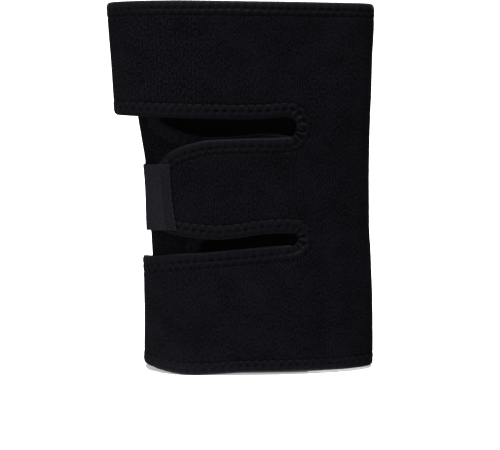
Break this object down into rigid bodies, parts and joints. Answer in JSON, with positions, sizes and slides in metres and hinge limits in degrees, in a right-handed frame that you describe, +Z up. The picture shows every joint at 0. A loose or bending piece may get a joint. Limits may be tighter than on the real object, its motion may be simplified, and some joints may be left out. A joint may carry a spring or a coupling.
{
  "type": "knee support",
  "caption": "Wrap-around knee support: a flattened neoprene sleeve slotted into straps, with bound edges and hook tabs that close it round the leg.",
  "frame": {"origin": "middle of the bounding box, at the lower hem", "axes": "+Z up along the leg, +X to the right as seen from the strap side, +Y away from the strap side, through the thickness of the flattened sleeve"},
  "size_m": [0.206, 0.0691, 0.28],
  "materials": {
    "neoprene": "matte knit-faced neoprene, black",
    "binding": "matte stretch binding tape, black",
    "hook_tape": "woven nylon hook tape, charcoal"
  },
  "bodies": {
    "root": {"neoprene_wrap": "neoprene", "top_binding": "binding", "bottom_binding": "binding", "upper_slot_binding": "binding", "lower_slot_binding": "binding", "inner_upper_slot_binding": "binding", "inner_lower_slot_binding": "binding", "middle_hook_tab": "hook_tape", "upper_hook_tab": "hook_tape", "lower_hook_tab": "hook_tape"}
  },
  "joints": []
}
